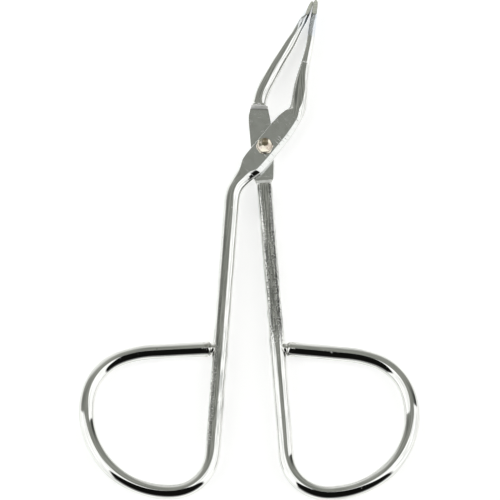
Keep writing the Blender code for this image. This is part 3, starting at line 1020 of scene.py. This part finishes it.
front_looks = (FRONT_SECTIONS, FRONT_TIP_LINE, FRONT_FINISH, 1.0, FRONT_PITS)
rear_looks = (REAR_SECTIONS, REAR_TIP_LINE, REAR_FINISH, -1.0, REAR_PITS)
front_arm = make_arm("front_arm_wire", front_spine, *front_looks, plate)
rear_arm = make_arm("rear_arm_wire", rear_spine, *rear_looks, plate)
for arm in (front_arm, rear_arm):
    cut_rivet_hole(arm)
    sharpen(arm, ARM_EDGE_ANGLE)
front_bead = make_bead("front_loop_bead", front_spine, 11, weld_metal)
rear_bead = make_bead("rear_loop_bead", rear_spine, 12, weld_metal)
for bead in (front_bead, rear_bead):
    sharpen(bead, BEAD_EDGE_ANGLE)
rivet = make_rivet("brass_rivet", brass)
sharpen(rivet, RIVET_EDGE_ANGLE)

for piece, body, node, slot in (
    (front_arm, "front_half", "front_arm", "chrome"),
    (rear_arm, "rear_half", "rear_arm", "chrome"),
    (front_bead, "front_half", "front_loop_weld", "weld_chrome"),
    (rear_bead, "rear_half", "rear_loop_weld", "weld_chrome"),
    (rivet, "rear_half", "pivot_rivet", "rivet_brass"),
):
    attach(piece, body)
    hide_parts(node)


# ---------------------------------------------------------------- camera

CAMERA_TILT = math.radians(13.0)
CAMERA_AT = (-2.763, -19.75, WIRE_MID_Z)
CAMERA_FAR = 1500.0
VIEW_WIDE = 93.98
SENSOR = 36.0


def add_camera():
    camera = bpy.data.cameras.new("camera")
    camera.sensor_width = SENSOR
    camera.lens = SENSOR * CAMERA_FAR / VIEW_WIDE
    camera.clip_start, camera.clip_end = 0.05, 50.0
    obj = bpy.data.objects.new("camera", camera)
    back = Vector((0.0, -math.sin(CAMERA_TILT), math.cos(CAMERA_TILT)))
    obj.location = (Vector(CAMERA_AT) + back * CAMERA_FAR) * MM
    obj.rotation_euler = (CAMERA_TILT, 0.0, 0.0)
    bpy.context.scene.collection.objects.link(obj)
    bpy.context.scene.camera = obj


# ---------------------------------------------------------------- studio

# The studio round the tool, in degrees on a map of the sky: the zenith is the middle, +Y is up, and distance
# from the middle is the angle from the zenith. A grey ceiling panel lies on the +Y side, white cards stand
# left and right, a black flag fills a wedge on the -Y side, and dark gaps show at both ends of the panel.
WHITE = (1.6, 1.6, 1.6, 1.0)
FAR_WHITE = (1.18, 1.18, 1.16, 1.0)
CEILING = (0.375, 0.383, 0.352, 1.0)
FLAG = (0.008, 0.008, 0.007, 1.0)
GAP = (0.05, 0.052, 0.05, 1.0)
BACKDROP = (1.0, 1.0, 1.0, 1.0)
# Near edge of the ceiling panel: height on the map by place across it
CEILING_EDGE = [(-100, 27), (-60, 13), (-32, 11.2), (-12, 9.5), (0, 9)]
CEILING_EDGE += [(14, 9.5), (28, 12), (33, 17), (60, 21.5), (100, 31)]
# Far edge of the ceiling panel: angle from the zenith by compass direction
CEILING_FAR = [(0, 125), (30, 118), (45, 105), (60, 90), (75, 76), (90, 66)]
CEILING_FAR += [(105, 61), (120, 61), (135, 70), (150, 88), (165, 84), (180, 80)]
FAR_SOFT = 22.0
EDGE_SOFT = 1.2
# The flag: height of its apex on the map, half-angle of its wedge by distance from the apex (left negative),
# and the angles from the zenith between which it fades out, which lean to the right
FLAG_APEX = 10.0
FLAG_EDGE = [(-75, 42), (-57, 45), (-44, 46.5), (-24, 40), (-8, 29), (0, 20)]
FLAG_EDGE += [(8, 25), (26, 35), (41, 43), (57, 46), (75, 47)]
FLAG_SOFT = 2.5
FLAG_FAR = (64.5, 109.0)
FLAG_LEAN = 0.08
# The gaps: middle, radii and darkness
GAPS = [((68.0, 27.0), (42.0, 20.0), 0.9), ((-55.0, 21.0), (30.0, 11.0), 0.42)]
GAP_CORE = 0.2
FLOOR_WIDE = 6.0
FLOOR_SEEN_GLOW = 0.48
FLOOR_LIT_GLOW = 0.8


def add_studio():
    world = bpy.data.worlds.new("studio")
    world.use_nodes = True
    bpy.context.scene.world = world
    g = Graph(world.node_tree)
    split = g.node("ShaderNodeSeparateXYZ")
    g.put(split.inputs[0], g.node("ShaderNodeTexCoord").outputs["Generated"])
    x, y, z = split.outputs
    height = g.math("MINIMUM", g.math("MAXIMUM", z, -1.0), 1.0)
    zenith = g.multiply(g.math("ARCCOSINE", height), math.degrees(1.0))
    flat = g.math("MAXIMUM", g.math("SQRT", g.add(g.multiply(x, x), g.multiply(y, y))), 1e-4)
    scale = g.math("DIVIDE", zenith, flat)
    px, py = g.multiply(x, scale), g.multiply(y, scale)
    azimuth = g.multiply(g.math("ARCTAN2", py, px), math.degrees(1.0))

    edge = g.curve(px, CEILING_EDGE)
    on_ceiling = g.step(g.subtract(py, edge), -EDGE_SOFT, EDGE_SOFT)
    far = g.curve(g.math("MAXIMUM", azimuth, 0.0), CEILING_FAR)
    beyond = g.step(g.subtract(zenith, far), -FAR_SOFT, FAR_SOFT)
    ceiling = g.mix(beyond, CEILING, FAR_WHITE)
    for at, radii, depth in GAPS:
        reach_x = g.math("DIVIDE", g.subtract(px, at[0]), radii[0])
        reach_y = g.math("DIVIDE", g.subtract(py, at[1]), radii[1])
        reach = g.math("SQRT", g.add(g.multiply(reach_x, reach_x), g.multiply(reach_y, reach_y)))
        in_gap = g.subtract(1.0, g.step(reach, GAP_CORE, 1.0))
        ceiling = g.mix(g.multiply(in_gap, depth), ceiling, GAP)
    colour = g.mix(on_ceiling, WHITE, ceiling)

    below = g.subtract(FLAG_APEX, py)
    wedge = g.multiply(g.math("ARCTAN2", g.math("ABSOLUTE", px), below), math.degrees(1.0))
    reach = g.math("SQRT", g.add(g.multiply(px, px), g.multiply(below, below)))
    edge = g.curve(g.multiply(g.math("SIGN", px), reach), FLAG_EDGE)
    in_wedge = g.subtract(1.0, g.step(g.subtract(wedge, edge), -FLAG_SOFT, FLAG_SOFT))
    leaning = g.subtract(zenith, g.multiply(px, FLAG_LEAN))
    near = g.subtract(1.0, g.step(leaning, *FLAG_FAR))
    colour = g.mix(g.multiply(in_wedge, near), colour, FLAG)

    background = world.node_tree.nodes["Background"]
    seen = g.node("ShaderNodeLightPath").outputs["Is Camera Ray"]
    g.put(background.inputs["Color"], g.mix(seen, colour, BACKDROP))


def add_floor():
    mesh = bpy.data.meshes.new("floor")
    half = FLOOR_WIDE / 2
    corners = [(-half, -half, 0), (half, -half, 0), (half, half, 0), (-half, half, 0)]
    mesh.from_pydata(corners, [], [(0, 1, 2, 3)])
    material = bpy.data.materials.new("white_table")
    material.use_nodes = True
    shader = material.node_tree.nodes["Principled BSDF"]
    shader.inputs["Base Color"].default_value = (0.9, 0.9, 0.9, 1.0)
    shader.inputs["Roughness"].default_value = 0.6
    shader.inputs["Specular IOR Level"].default_value = 0.2
    shader.inputs["Emission Color"].default_value = (1.0, 1.0, 1.0, 1.0)
    g = Graph(material.node_tree)
    seen = g.node("ShaderNodeLightPath").outputs["Is Camera Ray"]
    glow = g.add(FLOOR_LIT_GLOW, g.multiply(seen, FLOOR_SEEN_GLOW - FLOOR_LIT_GLOW))
    g.put(shader.inputs["Emission Strength"], glow)
    mesh.materials.append(material)
    floor = bpy.data.objects.new("floor", mesh)
    bpy.context.scene.collection.objects.link(floor)


add_camera()
add_studio()
add_floor()
bpy.context.scene.view_settings.view_transform = "Standard"
